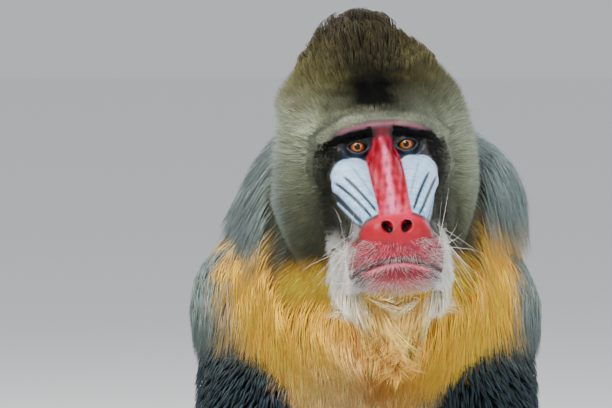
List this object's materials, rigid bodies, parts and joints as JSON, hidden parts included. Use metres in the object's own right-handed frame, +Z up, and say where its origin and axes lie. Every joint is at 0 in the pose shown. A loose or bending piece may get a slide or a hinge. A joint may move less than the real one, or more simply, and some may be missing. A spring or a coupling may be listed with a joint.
{
  "type": "mandrill",
  "caption": "Male mandrill at life size, a still museum-type model sitting with its hands on the ground between its feet.",
  "frame": {"origin": "middle of the animal's bounding box at floor level", "axes": "+Z up, the animal faces -Y, its left side is +X"},
  "size_m": [0.519, 0.642, 0.7096],
  "materials": {
    "olive_fur": "matte, long banded hair",
    "chest_fur": "matte, long hair",
    "belly_fur": "matte, thin hair",
    "beard_fur": "matte, long hair",
    "face_skin": "smooth moist skin",
    "rump_skin": "smooth skin",
    "palm_skin": "wrinkled dry skin",
    "ear_skin": "smooth skin",
    "eye": "wet gloss"
  },
  "bodies": {
    "root": {"head": "olive_fur", "muzzle": "face_skin", "lower_jaw": "beard_fur", "ear_left": "ear_skin", "ear_right": "ear_skin", "eye_left": "eye", "eye_right": "eye", "neck": "olive_fur", "chest": "chest_fur", "belly": "belly_fur", "pelvis": "rump_skin", "tail": "olive_fur", "upper_arm_left": "olive_fur", "upper_arm_right": "olive_fur", "forearm_left": "olive_fur", "forearm_right": "olive_fur", "hand_left": "palm_skin", "hand_right": "palm_skin", "thigh_left": "olive_fur", "thigh_right": "olive_fur", "shank_left": "olive_fur", "shank_right": "olive_fur", "foot_left": "palm_skin", "foot_right": "palm_skin"}
  },
  "joints": []
}
